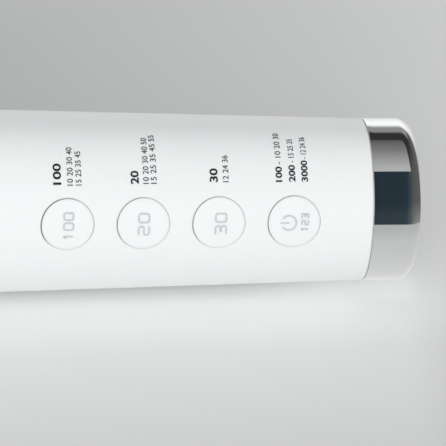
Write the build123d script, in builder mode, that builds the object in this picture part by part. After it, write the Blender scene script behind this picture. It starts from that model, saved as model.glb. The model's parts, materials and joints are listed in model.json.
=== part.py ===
from build123d import *

import os
from math import atan2, cos, radians, sin, tan

# Handheld facial toning device: a tapered round handle with four flush buttons, a chrome base cap
# and a bent head whose face holds a light window and five metal electrodes.
#
# Every piece is built upright. Z runs up the handle from the end face of the cap to the head, the
# buttons face -Y, and X is across. At the end all pieces are laid down together on their side, as
# the device rests on a table. Lengths are millimetres and angles are degrees.

# ---- Driving dimensions ----

# Handle: a straight cone from the seam of the cap up to the neck, as long as what it holds
seam_radius = 20.0
taper_angle = 1.5
shell_wall = 2.0
edge_break = 0.12

# Base cap and the ring that closes its seam
cap_height = 12.3
cap_wall = 1.6
cap_floor = 2.0
cap_edge_radius = 4.0
cap_opening_edge = 0.3
seal_thickness = 0.25
seal_recess = 0.35
seal_width = 1.1

# Row of buttons, counted from the one nearest the cap
button_count = 4
button_pitch = 18.5
power_button_reach = 19.5
button_radius = 6.35
button_gap = 0.2
button_edge_radius = 0.15
button_lip_radius = 0.1
button_travel = 0.5
button_face_depth = 2.5
button_shoulder_gap = 0.2
flange_overhang = 1.05
flange_thickness = 0.9
flange_gap = 0.35
stem_radius = 1.6
stem_length = 1.8
bed_depth = 4.4
bed_margin = 2.0

# Button switches
switch_side = 6.0
switch_height = 3.0
switch_bevel = 0.4
plunger_radius = 1.65
plunger_clearance = 0.08
plunger_length = 2.2
plunger_lift = 1.0
plunger_room = 0.3

# Main board
board_width = 25.0
board_lower_margin = 8.5
board_upper_margin = 7.6
board_thickness = 1.2
board_corner = 1.5
board_screw_side = 9.5
chip_side = 7.0
chip_height = 1.2
light_side = 1.6
light_height = 0.6
light_offset = 4.4
capacitor_radius = 2.5
capacitor_height = 3.8
capacitor_side = 7.3
transformer_width = 12.0
transformer_length = 9.0
transformer_height = 4.4
transformer_core = 5.0
transformer_winding = 5.4

# Battery and its foam pad
battery_radius = 9.2
battery_length = 65.0
battery_offset = 7.0
battery_gap = 0.2
terminal_radius = 3.0
terminal_height = 1.2
battery_bead = 0.4
pad_width = 14.0
pad_length = 36.0
pad_wrap = 1.2
pad_gap = 0.1

# Chassis
chassis_gap = 0.4
trough_wall = 1.4
foot_plate = 3.0
battery_stop = 2.0
rib_count = 3
rib_thickness = 2.0
lower_bay = 6.0
motor_bay = 6.5
head_plate = 4.0
boss_radius = 2.6

# Vibration motor and its turning weight
motor_radius = 6.0
motor_length = 18.0
motor_offset = 3.0
motor_edge_radius = 0.8
sleeve_wall = 1.4
sleeve_inset = 2.5
sleeve_bore_gap = 0.05
sleeve_seat_gap = 0.1
bushing_radius = 2.2
bushing_height = 1.4
shaft_radius = 0.75
shaft_clearance = 0.06
shaft_depth = 7.0
weight_radius = 5.4
weight_thickness = 6.0
weight_lift = 1.0
weight_hub = 1.7
rotor_room = 2.7
clamp_wall = 1.6
clamp_ear = 5.0

# Plug inside the cap, with the charging socket
core_gap = 0.15
core_wall = 1.8
core_floor = 2.0
core_reach = 8.0
socket_width = 8.94
socket_height = 3.26
socket_depth = 7.3
socket_wall = 0.35
socket_back = 1.05
socket_recess = 0.5
socket_gap = 0.2
tongue_width = 6.6
tongue_height = 0.7
charge_board_width = 14.0
charge_board_thickness = 1.0
charge_board_length = 11.0
base_screw_side = 12.6
base_screw_grip = 6.0

# Head: the housing follows a bent centre line from the neck to the face
head_radius = 26.0
head_wall = 2.2
neck_straight = 2.0
bend_radius = 44.0
face_tilt = 35.0
head_sections = 6
spigot_length = 7.0
spigot_clearance = 1.0
spigot_wall = 1.8
spigot_gap = 0.15
neck_seal_width = 1.0
neck_seal_height = 0.9
lug_radius = 3.0
lug_inset = 2.4
lug_angle = 21.5
neck_screw_grip = 7.0

# Face: heights are measured along its normal from the rim of the housing
rim_wall = 3.3
face_gap = 0.15
ring_height = 2.8
ring_edge_radius = 1.3
ring_bore_edge = 0.4
window_width = 4.4
window_rise = 3.1
window_edge_radius = 0.7
plate_rim_rise = 2.7
plate_crown_rise = 4.4
plate_edge_radius = 0.2
carrier_recess = 1.0
carrier_thickness = 2.0
ledge_width = 1.5
ledge_thickness = 1.4
face_seal_height = 0.3
outer_electrode_count = 4
centre_electrode_radius = 4.8
electrode_margin = 2.4
electrode_top = 5.6
electrode_dome = 2.4
electrode_stem_radius = 1.5
led_board_drop = 2.0
led_board_thickness = 1.2
led_board_gap = 0.6
led_side = 2.8
led_height = 1.3
led_count = 12
led_colours = 3
window_bridges = 3
window_bridge_width = 5.0
face_screw_count = 3
face_boss_radius = 1.9

# Screws and wires
screw_radius = 1.1
screw_head_radius = 2.1
screw_head_height = 1.4
screw_fit = 0.1
screw_tip_room = 1.4
small_screw_radius = 0.8
small_screw_head_radius = 1.5
small_screw_head_height = 1.0
board_screw_length = 6.0
wire_radius = 0.6
wire_end_gap = 0.3
lead_start = 2.0
lead_end = 7.0
lead_bend = 1.2
harness_radius = 1.3
harness_bend = 3.0
harness_run = 9.0
harness_side = 9.0
harness_neck_gap = 3.9
harness_head_gap = 5.2
charge_lead_start = 15.3
charge_lead_top = 18.2

# How the device lies: its buttons look this far above level
resting_roll = 22.0

# ---- Shared places ----

power_button_height = cap_height + power_button_reach


def handle_radius(height):
    """Outer radius of the handle at a height above the base."""
    return seam_radius + (height - cap_height) * tan(radians(taper_angle))


def handle_bore(height):
    """Inner radius of the handle at a height above the base."""
    return handle_radius(height) - shell_wall


def chassis_radius(height):
    """Outer radius of the chassis at a height above the base."""
    return handle_bore(height) - chassis_gap


def turn(*outline, section=Plane.XZ, axis=Axis.Z, mode=Mode.ADD):
    """Revolve a closed outline of (radius, height) corners in the current part."""
    with BuildSketch(section) as profile:
        with BuildLine():
            Polyline(*outline, close=True)
        make_face()
    revolve(profile.sketch, axis=axis, mode=mode)


def ring(inner, outer, low, high, section=Plane.XZ, axis=Axis.Z, mode=Mode.ADD):
    """Turn a plain ring in the current part."""
    turn((inner, low), (outer, low), (outer, high), (inner, high), section=section, axis=axis, mode=mode)


def post(plane, radius, length, spots=((0, 0),), mode=Mode.ADD):
    """Raise round posts from a plane in the current part."""
    with BuildSketch(plane) as profile:
        with Locations(*spots):
            Circle(radius)
    extrude(profile.sketch, amount=length, mode=mode)


def screws(plane, spots, length, shank=screw_radius, head=screw_head_radius, cap=screw_head_height):
    """Screws in the current part: heads rest on the plane, shanks go into it."""
    post(plane, head, cap, spots)
    post(plane, shank, -length, spots)


# Front of the handle along the row of buttons: Z points out of it and Y towards the head
row_plane = Plane(
    origin=(0, -handle_radius(power_button_height), power_button_height),
    x_dir=(1, 0, 0),
    z_dir=(0, -cos(radians(taper_angle)), -sin(radians(taper_angle))),
)
button_spots = [(0, place * button_pitch) for place in range(button_count)]
row_length = (button_count - 1) * button_pitch

flange_top = button_face_depth
flange_base = flange_top + flange_thickness
stem_end = flange_base + stem_length
switch_top = stem_end + plunger_lift
board_top = switch_top + switch_height
board_back = board_top + board_thickness

flange_radius = button_radius + flange_overhang
button_hole = button_radius + button_gap
flange_bore = flange_radius + flange_gap

board_front_plane = row_plane.offset(-board_top)
board_back_plane = row_plane.offset(-board_back)

# Stations along the chassis, from the foot plate up to the head plate
chassis_start = cap_height + core_reach
battery_start = chassis_start + foot_plate + lower_bay + battery_stop + battery_gap
battery_end = battery_start + battery_length
motor_start = battery_end + battery_gap + battery_stop + motor_bay
motor_end = motor_start + motor_length
sleeve_start = motor_start + sleeve_inset
sleeve_end = motor_end - sleeve_inset
weight_start = motor_end + bushing_height + weight_lift
weight_end = weight_start + weight_thickness
chassis_end = weight_end + rotor_room + head_plate
spigot_bottom = chassis_end + spigot_clearance
neck_height = spigot_bottom + spigot_length
spigot_radius = handle_bore(spigot_bottom) - spigot_gap
spigot_bore = spigot_radius - spigot_wall

# The board is screwed down over the two plates that stop the battery
lower_stop = battery_start - battery_gap - battery_stop / 2
upper_stop = battery_end + battery_gap + battery_stop / 2
lower_screw, upper_screw = [
    (stop - power_button_height) / cos(radians(taper_angle)) for stop in (lower_stop, upper_stop)
]
board_screw_spots = [
    (side * board_screw_side, along) for side in (-1, 1) for along in (lower_screw, upper_screw)
]
board_start = lower_screw - board_lower_margin
board_end = upper_screw + board_upper_margin
board_middle = (board_start + board_end) / 2

battery_axis = Axis((0, battery_offset, 0), (0, 0, 1))
battery_section = Plane(origin=(0, battery_offset, 0), x_dir=(1, 0, 0), z_dir=(0, -1, 0))
motor_axis = Axis((0, motor_offset, 0), (0, 0, 1))
motor_section = Plane(origin=(0, motor_offset, 0), x_dir=(1, 0, 0), z_dir=(0, -1, 0))
sleeve_radius = motor_radius + sleeve_wall

# Head: planes across its bent centre line, from the neck (0) to the face (1)
bend_start = neck_height + neck_straight
neck_radius = handle_radius(neck_height)


def head_plane(share):
    """Plane across the head's centre line, a share of the way round its bend."""
    angle = radians(face_tilt) * share
    return Plane(
        origin=(0, bend_radius * (cos(angle) - 1), bend_start + bend_radius * sin(angle)),
        x_dir=(1, 0, 0),
        z_dir=(0, -sin(angle), cos(angle)),
    )


def head_section_radius(share):
    """Outer radius of the head, swelling smoothly from the neck to the face."""
    swell = share * share * (3 - 2 * share)
    return neck_radius + (head_radius - neck_radius) * swell


def loft_head(inset, mode=Mode.ADD):
    """Loft the head's form, an inset inside its outer surface, in the current part."""
    with BuildSketch(Plane.XY.offset(neck_height)) as neck:
        Circle(neck_radius - inset)
    outlines = [neck.sketch]
    for step in range(head_sections + 1):
        share = step / head_sections
        with BuildSketch(head_plane(share)) as outline:
            Circle(head_section_radius(share) - inset)
        outlines.append(outline.sketch)
    loft(outlines, mode=mode)


face_plane = head_plane(1)
face_axis = Axis(face_plane.origin, face_plane.z_dir)
face_section = Plane(origin=face_plane.origin, x_dir=face_plane.x_dir, z_dir=-face_plane.y_dir)
on_face = {"section": face_section, "axis": face_axis}

rim_bore = head_radius - rim_wall
carrier_radius = rim_bore - face_gap
carrier_top = -carrier_recess
carrier_back = carrier_top - carrier_thickness
ledge_top = carrier_back - face_seal_height
ledge_back = ledge_top - ledge_thickness
ledge_bore = rim_bore - ledge_width
window_outer = carrier_radius
window_inner = window_outer - window_width
plate_radius = window_inner - face_gap
led_ring = (window_inner + window_outer) / 2
led_board_top = carrier_back - led_board_drop
led_board_radius = ledge_bore - led_board_gap

# ---- Handle ----

with BuildPart() as handle_envelope:
    turn(
        (0, cap_height),
        (handle_radius(cap_height), cap_height),
        (neck_radius, neck_height),
        (0, neck_height),
    )

with BuildPart() as handle_cavity:
    turn(
        (0, cap_height),
        (handle_bore(cap_height), cap_height),
        (handle_bore(neck_height), neck_height),
        (0, neck_height),
    )
    # The flat bed that the buttons sit in stays solid
    with BuildSketch(row_plane.offset(-bed_depth)):
        with Locations((0, row_length / 2)):
            SlotOverall(
                row_length + 2 * (flange_bore + bed_margin),
                2 * (flange_bore + bed_margin),
                rotation=90,
            )
    extrude(amount=bed_depth, mode=Mode.SUBTRACT)

# The bed seen from inside the tube: its Z points at the middle of the handle
bed_plane = Plane(
    origin=row_plane.offset(-bed_depth).origin, x_dir=row_plane.x_dir, z_dir=-row_plane.z_dir
)

with BuildPart() as handle_shell:
    add(handle_envelope.part)
    add(handle_cavity.part, mode=Mode.SUBTRACT)
    with Locations(bed_plane):
        with Locations(*[(0, -along) for _, along in button_spots]):
            CounterBoreHole(
                radius=button_hole,
                counter_bore_radius=flange_bore,
                counter_bore_depth=bed_depth - flange_top + button_shoulder_gap,
                depth=bed_depth + shell_wall,
            )
    outside = handle_shell.faces().filter_by(GeomType.CONE).sort_by(SortBy.AREA)[-1]
    tube_ends = outside.edges().filter_by(GeomType.CIRCLE)
    hole_lips = [edge for hole in outside.inner_wires() for edge in hole.edges()]
    chamfer(tube_ends, edge_break)
    fillet(hole_lips, button_lip_radius)

# ---- Buttons and their switch plungers ----


def make_button(spot):
    """A flush round button: its face follows the handle and its flange stops it from inside."""
    with BuildPart() as button:
        post(row_plane.offset(-flange_top), button_radius, flange_top + shell_wall, [spot])
        add(handle_envelope.part, mode=Mode.INTERSECT)
        fillet(button.faces().filter_by(GeomType.CONE).edges(), button_edge_radius)
        post(row_plane.offset(-flange_base), flange_radius, flange_thickness, [spot])
        post(row_plane.offset(-stem_end), stem_radius, stem_length, [spot])
    return button


def make_plunger(spot):
    """The pin of one push switch, which its button's stem presses."""
    with BuildPart() as plunger:
        post(row_plane.offset(-stem_end - plunger_length), plunger_radius, plunger_length, [spot])
    return plunger


buttons = [make_button(spot) for spot in button_spots]
plungers = [make_plunger(spot) for spot in button_spots]

# ---- Main board ----

with BuildPart() as main_board:
    with BuildSketch(board_back_plane):
        with Locations((0, board_middle)):
            RectangleRounded(board_width, board_end - board_start, board_corner)
        with Locations(*board_screw_spots):
            Circle(small_screw_radius + screw_fit, mode=Mode.SUBTRACT)
    extrude(amount=board_thickness)

with BuildPart() as switch_housings:
    with BuildSketch(board_front_plane):
        with Locations(*button_spots):
            Rectangle(switch_side, switch_side)
    extrude(amount=switch_height)
    switch_tops = switch_housings.faces().sort_by(Axis(row_plane.origin, row_plane.z_dir))[-button_count:]
    chamfer(switch_tops.edges(), switch_bevel)
    post(
        row_plane.offset(-switch_top),
        plunger_radius + plunger_clearance,
        plunger_lift - plunger_length - button_travel - plunger_room,
        button_spots,
        mode=Mode.SUBTRACT,
    )

with BuildPart() as button_lights:
    with BuildSketch(board_front_plane):
        for _, along in button_spots:
            with Locations((-light_offset, along), (light_offset, along)):
                Rectangle(light_side, light_side)
    extrude(amount=light_height)

with BuildPart() as controller_chip:
    with BuildSketch(board_front_plane):
        with Locations((0, row_length / 2)):
            Rectangle(chip_side, chip_side)
    extrude(amount=chip_height)

# The capacitors stand between the first two and the last two buttons
capacitor_spots = [
    (side * capacitor_side, along)
    for side in (-1, 1)
    for along in (button_pitch / 2, row_length - button_pitch / 2)
]

with BuildPart() as storage_capacitors:
    post(board_front_plane, capacitor_radius, capacitor_height, capacitor_spots)

with BuildPart() as power_transformer:
    with BuildSketch(board_front_plane):
        with Locations((0, (row_length + switch_side / 2 + board_end) / 2)):
            Rectangle(transformer_core, transformer_length)
            Rectangle(transformer_width, transformer_winding)
    extrude(amount=transformer_height)

with BuildPart() as board_screws:
    screws(
        board_front_plane,
        board_screw_spots,
        board_screw_length,
        small_screw_radius,
        small_screw_head_radius,
        small_screw_head_height,
    )

# ---- Battery ----

with BuildPart() as battery:
    turn(
        (0, battery_start),
        (battery_radius - battery_bead, battery_start),
        (battery_radius, battery_start + battery_bead),
        (battery_radius, battery_end - terminal_height - battery_bead),
        (battery_radius - battery_bead, battery_end - terminal_height),
        (terminal_radius, battery_end - terminal_height),
        (terminal_radius, battery_end),
        (0, battery_end),
        section=battery_section,
        axis=battery_axis,
    )

with BuildPart() as battery_pad:
    with BuildSketch(Plane.XZ.offset(battery_radius - battery_offset - pad_wrap)):
        with Locations((0, (battery_start + battery_end) / 2)):
            Rectangle(pad_width, pad_length)
    extrude(amount=2 * seam_radius)
    split(bisect_by=board_back_plane, keep=Keep.BOTTOM)
    ring(
        0,
        battery_radius + pad_gap,
        battery_start,
        battery_end,
        section=battery_section,
        axis=battery_axis,
        mode=Mode.SUBTRACT,
    )

# ---- Chassis ----

rib_pitch = battery_length / (rib_count + 1)
stations = [(chassis_start, chassis_start + foot_plate)]
stations.append((lower_stop - battery_stop / 2, lower_stop + battery_stop / 2))
for rib in range(1, rib_count + 1):
    rib_middle = battery_start + rib * rib_pitch
    stations.append((rib_middle - rib_thickness / 2, rib_middle + rib_thickness / 2))
stations.append((upper_stop - battery_stop / 2, upper_stop + battery_stop / 2))
stations.append((sleeve_start, sleeve_end))
stations.append((chassis_end - head_plate, chassis_end))


def open_notch(radius, back, low, high):
    """Cut a round notch, open to the front, through the current part."""
    with BuildSketch(Plane.XY.offset(low)) as notch:
        with Locations((0, back)):
            Circle(radius)
            Rectangle(2 * radius, 2 * seam_radius, align=(Align.CENTER, Align.MAX))
    extrude(notch.sketch, amount=high - low, mode=Mode.SUBTRACT)


base_screw_spots = [(-base_screw_side, 0), (base_screw_side, 0)]
lug_distance = spigot_bore - lug_inset
lug_side = lug_distance * cos(radians(lug_angle))
lug_back = lug_distance * sin(radians(lug_angle))
neck_screw_spots = [(-lug_side, lug_back), (lug_side, lug_back)]
clamp_screw_side = sleeve_radius + clamp_wall + clamp_ear / 2
clamp_plane = Plane(
    origin=(0, motor_offset, (sleeve_start + sleeve_end) / 2), x_dir=(1, 0, 0), z_dir=(0, -1, 0)
)
clamp_screw_spots = [(-clamp_screw_side, 0), (clamp_screw_side, 0)]

with BuildPart() as chassis:
    turn(
        (0, chassis_start),
        (chassis_radius(chassis_start), chassis_start),
        (chassis_radius(chassis_end), chassis_end),
        (0, chassis_end),
    )
    split(bisect_by=board_back_plane, keep=Keep.BOTTOM)
    for below, above in zip(stations, stations[1:]):
        turn(
            (0, below[1]),
            (chassis_radius(below[1]) - trough_wall, below[1]),
            (chassis_radius(above[0]) - trough_wall, above[0]),
            (0, above[0]),
            mode=Mode.SUBTRACT,
        )
    open_notch(
        battery_radius + battery_gap,
        battery_offset,
        battery_start - battery_gap,
        battery_end + battery_gap,
    )
    open_notch(sleeve_radius + sleeve_seat_gap, motor_offset, sleeve_start, sleeve_end)
    # The motor's cradle ends level with the motor's axis, where its clamp is screwed down
    with BuildSketch(Plane.XY.offset(sleeve_start)):
        with Locations((0, motor_offset)):
            Rectangle(4 * seam_radius, 2 * seam_radius, align=(Align.CENTER, Align.MAX))
    extrude(amount=sleeve_end - sleeve_start, mode=Mode.SUBTRACT)
    # Screw bosses for the board, the cap's plug and the head
    post(board_back_plane, boss_radius, -board_screw_length - board_thickness, board_screw_spots)
    post(Plane.XY.offset(chassis_start), boss_radius, foot_plate + base_screw_grip, base_screw_spots)
    post(Plane.XY.offset(chassis_end), boss_radius, -neck_screw_grip, neck_screw_spots)
    post(
        board_back_plane,
        small_screw_radius + screw_fit,
        -board_screw_length - board_thickness,
        board_screw_spots,
        mode=Mode.SUBTRACT,
    )
    post(
        Plane.XY.offset(chassis_start),
        screw_radius + screw_fit,
        foot_plate + base_screw_grip,
        base_screw_spots,
        mode=Mode.SUBTRACT,
    )
    post(
        Plane.XY.offset(chassis_end),
        screw_radius + screw_fit,
        -neck_screw_grip,
        neck_screw_spots,
        mode=Mode.SUBTRACT,
    )
    post(
        clamp_plane,
        small_screw_radius + screw_fit,
        -board_screw_length,
        clamp_screw_spots,
        mode=Mode.SUBTRACT,
    )

# ---- Vibration motor ----

with BuildPart() as motor_can:
    post(Plane.XY.offset(motor_start), motor_radius, motor_length, [(0, motor_offset)])
    fillet(motor_can.edges().filter_by(GeomType.CIRCLE), motor_edge_radius)
    post(Plane.XY.offset(motor_end), bushing_radius, bushing_height, [(0, motor_offset)])
    post(
        Plane.XY.offset(motor_end + bushing_height),
        shaft_radius + shaft_clearance,
        -shaft_depth - bushing_height,
        [(0, motor_offset)],
        mode=Mode.SUBTRACT,
    )

with BuildPart() as motor_sleeve:
    ring(
        motor_radius + sleeve_bore_gap,
        sleeve_radius,
        sleeve_start,
        sleeve_end,
        section=motor_section,
        axis=motor_axis,
    )

with BuildPart() as motor_clamp:
    with BuildSketch(Plane.XY.offset(sleeve_start)):
        with Locations((0, motor_offset)):
            Circle(sleeve_radius + clamp_wall)
            Rectangle(2 * (sleeve_radius + clamp_wall + clamp_ear), 2 * clamp_wall)
            Circle(sleeve_radius + sleeve_seat_gap, mode=Mode.SUBTRACT)
            # Only the front half is left, down to the cradle that it is screwed to
            Rectangle(
                4 * seam_radius, 2 * seam_radius, align=(Align.CENTER, Align.MIN), mode=Mode.SUBTRACT
            )
    extrude(amount=sleeve_end - sleeve_start)
    post(
        clamp_plane,
        small_screw_radius + screw_fit,
        clamp_wall,
        clamp_screw_spots,
        mode=Mode.SUBTRACT,
    )

with BuildPart() as clamp_screws:
    screws(
        clamp_plane.offset(clamp_wall),
        clamp_screw_spots,
        board_screw_length,
        small_screw_radius,
        small_screw_head_radius,
        small_screw_head_height,
    )

with BuildPart() as motor_shaft:
    post(
        Plane.XY.offset(motor_end - shaft_depth + shaft_clearance),
        shaft_radius,
        weight_end - motor_end + shaft_depth,
        [(0, motor_offset)],
    )

with BuildPart() as eccentric_weight:
    with BuildSketch(Plane.XY.offset(weight_start)):
        with Locations((0, motor_offset)):
            Circle(weight_radius)
            Rectangle(
                4 * weight_radius, 2 * weight_radius, align=(Align.CENTER, Align.MAX), mode=Mode.SUBTRACT
            )
            Circle(weight_hub)
            Circle(shaft_radius, mode=Mode.SUBTRACT)
    extrude(amount=weight_thickness)

# ---- Cap, its seal and its plug ----

cap_bore = seam_radius - cap_wall
core_low = cap_floor + core_gap
cap_rim = cap_height - seal_thickness
core_top = cap_height + core_reach
board_shelf = socket_height / 2

with BuildPart() as base_cap:
    turn(
        (0, 0),
        (seam_radius, 0),
        (seam_radius, cap_rim),
        (cap_bore, cap_rim),
        (cap_bore, cap_floor),
        (0, cap_floor),
    )
    outer_edge = base_cap.edges().filter_by(GeomType.CIRCLE).group_by(Axis.Z)[0]
    fillet(outer_edge, cap_edge_radius)
    inner_edge = base_cap.edges().filter_by(GeomType.CIRCLE).filter_by_position(
        Axis.Z, cap_floor, cap_floor
    )
    fillet(inner_edge, cap_edge_radius - cap_wall)
    with BuildSketch(Plane.XY):
        SlotOverall(socket_width + 2 * socket_gap, socket_height + 2 * socket_gap)
    extrude(amount=cap_floor, mode=Mode.SUBTRACT)
    end_face = base_cap.faces().sort_by(Axis.Z)[0]
    fillet(end_face.inner_wires()[0].edges(), cap_opening_edge)
    chamfer(base_cap.edges().group_by(Axis.Z)[-1].sort_by(SortBy.RADIUS)[-1], edge_break)

with BuildPart() as cap_seal:
    ring(seam_radius - seal_recess - seal_width, seam_radius - seal_recess, cap_rim, cap_height)

with BuildPart() as cap_core:
    core_radius = cap_bore - core_gap
    spigot_outer = handle_bore(cap_height) - core_gap
    edge = cap_edge_radius - cap_wall
    turn(
        (0, core_low),
        (core_radius - edge, core_low),
        (core_radius, core_low + edge),
        (core_radius, cap_rim),
        (spigot_outer, cap_rim),
        (spigot_outer, core_top),
        (spigot_outer - core_wall, core_top),
        (spigot_outer - core_wall, core_low + core_floor + edge),
        (spigot_outer - core_wall - edge, core_low + core_floor),
        (0, core_low + core_floor),
    )
    # Shelf behind the charging board
    with BuildSketch(Plane.XY.offset(core_low)):
        with Locations((0, board_shelf + charge_board_thickness)):
            Rectangle(charge_board_width, 2 * charge_board_thickness, align=(Align.CENTER, Align.MIN))
    extrude(amount=core_floor + charge_board_length)
    post(Plane.XY.offset(core_low), boss_radius, core_top - core_low, base_screw_spots)
    with BuildSketch(Plane.XY.offset(core_low)):
        SlotOverall(socket_width + 2 * socket_gap, socket_height + 2 * socket_gap)
    extrude(amount=core_floor, mode=Mode.SUBTRACT)
    with Locations(Plane(origin=(0, 0, core_low), x_dir=(1, 0, 0), z_dir=(0, 0, -1))):
        with Locations(*base_screw_spots):
            CounterBoreHole(
                radius=screw_radius + screw_fit,
                counter_bore_radius=screw_head_radius + screw_fit,
                counter_bore_depth=screw_head_height,
                depth=core_top - core_low,
            )

with BuildPart() as charge_board:
    with BuildSketch(Plane.XY.offset(core_low + core_floor)):
        with Locations((0, board_shelf)):
            Rectangle(charge_board_width, charge_board_thickness, align=(Align.CENTER, Align.MIN))
    extrude(amount=charge_board_length)

with BuildPart() as usb_socket:
    with BuildSketch(Plane.XY.offset(socket_recess)):
        SlotOverall(socket_width, socket_height)
    extrude(amount=socket_depth)
    with BuildSketch(Plane.XY.offset(socket_recess)):
        SlotOverall(socket_width - 2 * socket_wall, socket_height - 2 * socket_wall)
        Rectangle(tongue_width, tongue_height, mode=Mode.SUBTRACT)
    extrude(amount=socket_depth - socket_back, mode=Mode.SUBTRACT)

with BuildPart() as base_screws:
    seat = core_low + screw_head_height
    screws(
        Plane(origin=(0, 0, seat), x_dir=(1, 0, 0), z_dir=(0, 0, -1)),
        base_screw_spots,
        chassis_start + foot_plate + base_screw_grip - screw_tip_room - seat,
    )

# ---- Head ----

seal_groove = spigot_bottom + spigot_length / 2 - neck_seal_height / 2
lug_length = neck_height - chassis_end

with BuildPart() as head_cavity:
    loft_head(head_wall)
    split(bisect_by=face_plane.offset(ledge_back), keep=Keep.BOTTOM)
    ring(0, ledge_bore, ledge_back, ledge_top, **on_face)
    ring(0, rim_bore, ledge_top, 0, **on_face)

with BuildPart() as head_shell:
    loft_head(0)
    add(head_cavity.part, mode=Mode.SUBTRACT)
    # Spigot that plugs into the handle, with a groove for the seal
    turn(
        (spigot_bore, spigot_bottom),
        (spigot_radius, spigot_bottom),
        (spigot_radius, neck_height),
        (neck_radius - head_wall / 2, neck_height),
        (neck_radius - head_wall / 2, neck_height + neck_straight),
        (neck_radius - head_wall, neck_height + neck_straight),
        (spigot_bore, neck_height),
    )
    ring(
        spigot_radius - neck_seal_width,
        spigot_radius,
        seal_groove,
        seal_groove + neck_seal_height,
        mode=Mode.SUBTRACT,
    )
    # Lugs that grow out of the spigot's wall and stand on the chassis
    post(Plane.XY.offset(chassis_end), lug_radius, lug_length, neck_screw_spots)
    post(
        Plane.XY.offset(chassis_end),
        screw_radius + screw_fit,
        lug_length,
        neck_screw_spots,
        mode=Mode.SUBTRACT,
    )

with BuildPart() as neck_seal:
    ring(
        spigot_radius - neck_seal_width + spigot_gap / 2,
        spigot_radius + spigot_gap / 2,
        seal_groove,
        seal_groove + neck_seal_height,
    )

with BuildPart() as neck_screws:
    screws(
        Plane.XY.offset(neck_height),
        neck_screw_spots,
        lug_length + neck_screw_grip - screw_tip_room,
    )

# ---- Face ----


def spots_round(radius, count, first_angle):
    """Points evenly spaced round a circle."""
    angles = [radians(first_angle + 360 * place / count) for place in range(count)]
    return [(radius * cos(angle), radius * sin(angle)) for angle in angles]


# The electrodes fill the plate, with the same margin between them and round them
outer_electrode_radius = (plate_radius - centre_electrode_radius - 2 * electrode_margin) / 2
outer_electrode_distance = centre_electrode_radius + electrode_margin + outer_electrode_radius
outer_electrode_spots = spots_round(outer_electrode_distance, outer_electrode_count, 45)
face_screw_distance = centre_electrode_radius + electrode_margin / 2
face_screw_spots = spots_round(face_screw_distance, face_screw_count, 90)

with BuildPart() as face_carrier:
    ring(0, carrier_radius, carrier_back, carrier_top, **on_face)
    post(face_plane.offset(carrier_back), face_boss_radius, -led_board_drop, face_screw_spots)
    post(
        face_plane.offset(carrier_top),
        small_screw_radius + screw_fit,
        -led_board_drop - carrier_thickness,
        face_screw_spots,
        mode=Mode.SUBTRACT,
    )
    post(
        face_plane.offset(carrier_top),
        electrode_stem_radius + screw_fit,
        -carrier_thickness,
        [(0, 0), *outer_electrode_spots],
        mode=Mode.SUBTRACT,
    )
    with BuildSketch(face_plane.offset(carrier_back)):
        Circle(led_ring + led_side / 2)
        Circle(led_ring - led_side / 2, mode=Mode.SUBTRACT)
        with PolarLocations(led_ring, window_bridges, start_angle=90):
            Rectangle(2 * led_side, window_bridge_width, mode=Mode.SUBTRACT)
    extrude(amount=carrier_thickness, mode=Mode.SUBTRACT)

with BuildPart() as face_seal:
    ring(ledge_bore + face_gap, rim_bore - face_gap, ledge_top, carrier_back, **on_face)

with BuildPart() as head_ring:
    ring(window_outer + face_gap, head_radius, 0, ring_height, **on_face)
    fillet(head_ring.edges().group_by(face_axis)[-1].sort_by(SortBy.RADIUS)[-1], ring_edge_radius)
    fillet(head_ring.edges().group_by(face_axis)[-1].sort_by(SortBy.RADIUS)[0], ring_bore_edge)

with BuildPart() as light_ring:
    ring(window_inner, window_outer, carrier_top, window_rise, **on_face)
    fillet(light_ring.edges().group_by(face_axis)[-1], window_edge_radius)

with BuildPart() as electrode_plate:
    with BuildSketch(face_section) as plate_profile:
        with BuildLine():
            Polyline(
                (0, plate_crown_rise),
                (0, carrier_top),
                (plate_radius, carrier_top),
                (plate_radius, plate_rim_rise),
            )
            TangentArc((0, plate_crown_rise), (plate_radius, plate_rim_rise), tangent=(1, 0))
        make_face()
    revolve(axis=face_axis)
    post(
        face_plane.offset(carrier_top),
        outer_electrode_radius + face_gap,
        plate_crown_rise - carrier_top,
        outer_electrode_spots,
        mode=Mode.SUBTRACT,
    )
    post(
        face_plane.offset(carrier_top),
        centre_electrode_radius + face_gap,
        plate_crown_rise - carrier_top,
        mode=Mode.SUBTRACT,
    )
    crown = electrode_plate.faces().sort_by(face_axis)[-1]
    loops = crown.edges().filter_by(lambda edge: edge.is_closed).sort_by(SortBy.LENGTH)
    fillet(loops[:-1], plate_edge_radius)


def make_electrodes(radius, spots):
    """Domed electrodes, each with a stem through the carrier."""
    with BuildPart() as electrodes:
        post(face_plane.offset(carrier_top), radius, electrode_top - carrier_top, spots)
        rims = electrodes.edges().filter_by(GeomType.CIRCLE).group_by(face_axis)[-1]
        fillet(rims, electrode_dome)
        post(face_plane.offset(carrier_top), electrode_stem_radius, -carrier_thickness, spots)
    return electrodes


outer_electrodes = make_electrodes(outer_electrode_radius, outer_electrode_spots)
centre_electrode = make_electrodes(centre_electrode_radius, [(0, 0)])

led_board_plane = face_plane.offset(led_board_top - led_board_thickness)

with BuildPart() as led_board:
    with BuildSketch(led_board_plane):
        Circle(led_board_radius)
        with Locations(*face_screw_spots):
            Circle(small_screw_radius + screw_fit, mode=Mode.SUBTRACT)
    extrude(amount=led_board_thickness)


def make_leds(first):
    """The lights of one colour, evenly spread round the ring from the given place on."""
    first_angle = first * 360 / led_count
    with BuildPart() as leds:
        with BuildSketch(face_plane.offset(led_board_top)):
            with PolarLocations(led_ring - led_side / 2, led_count // led_colours, first_angle):
                Rectangle(led_side, led_side)
        extrude(amount=led_height)
    return leds


red_leds = make_leds(0)
blue_leds = make_leds(1)
green_leds = make_leds(2)

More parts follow.
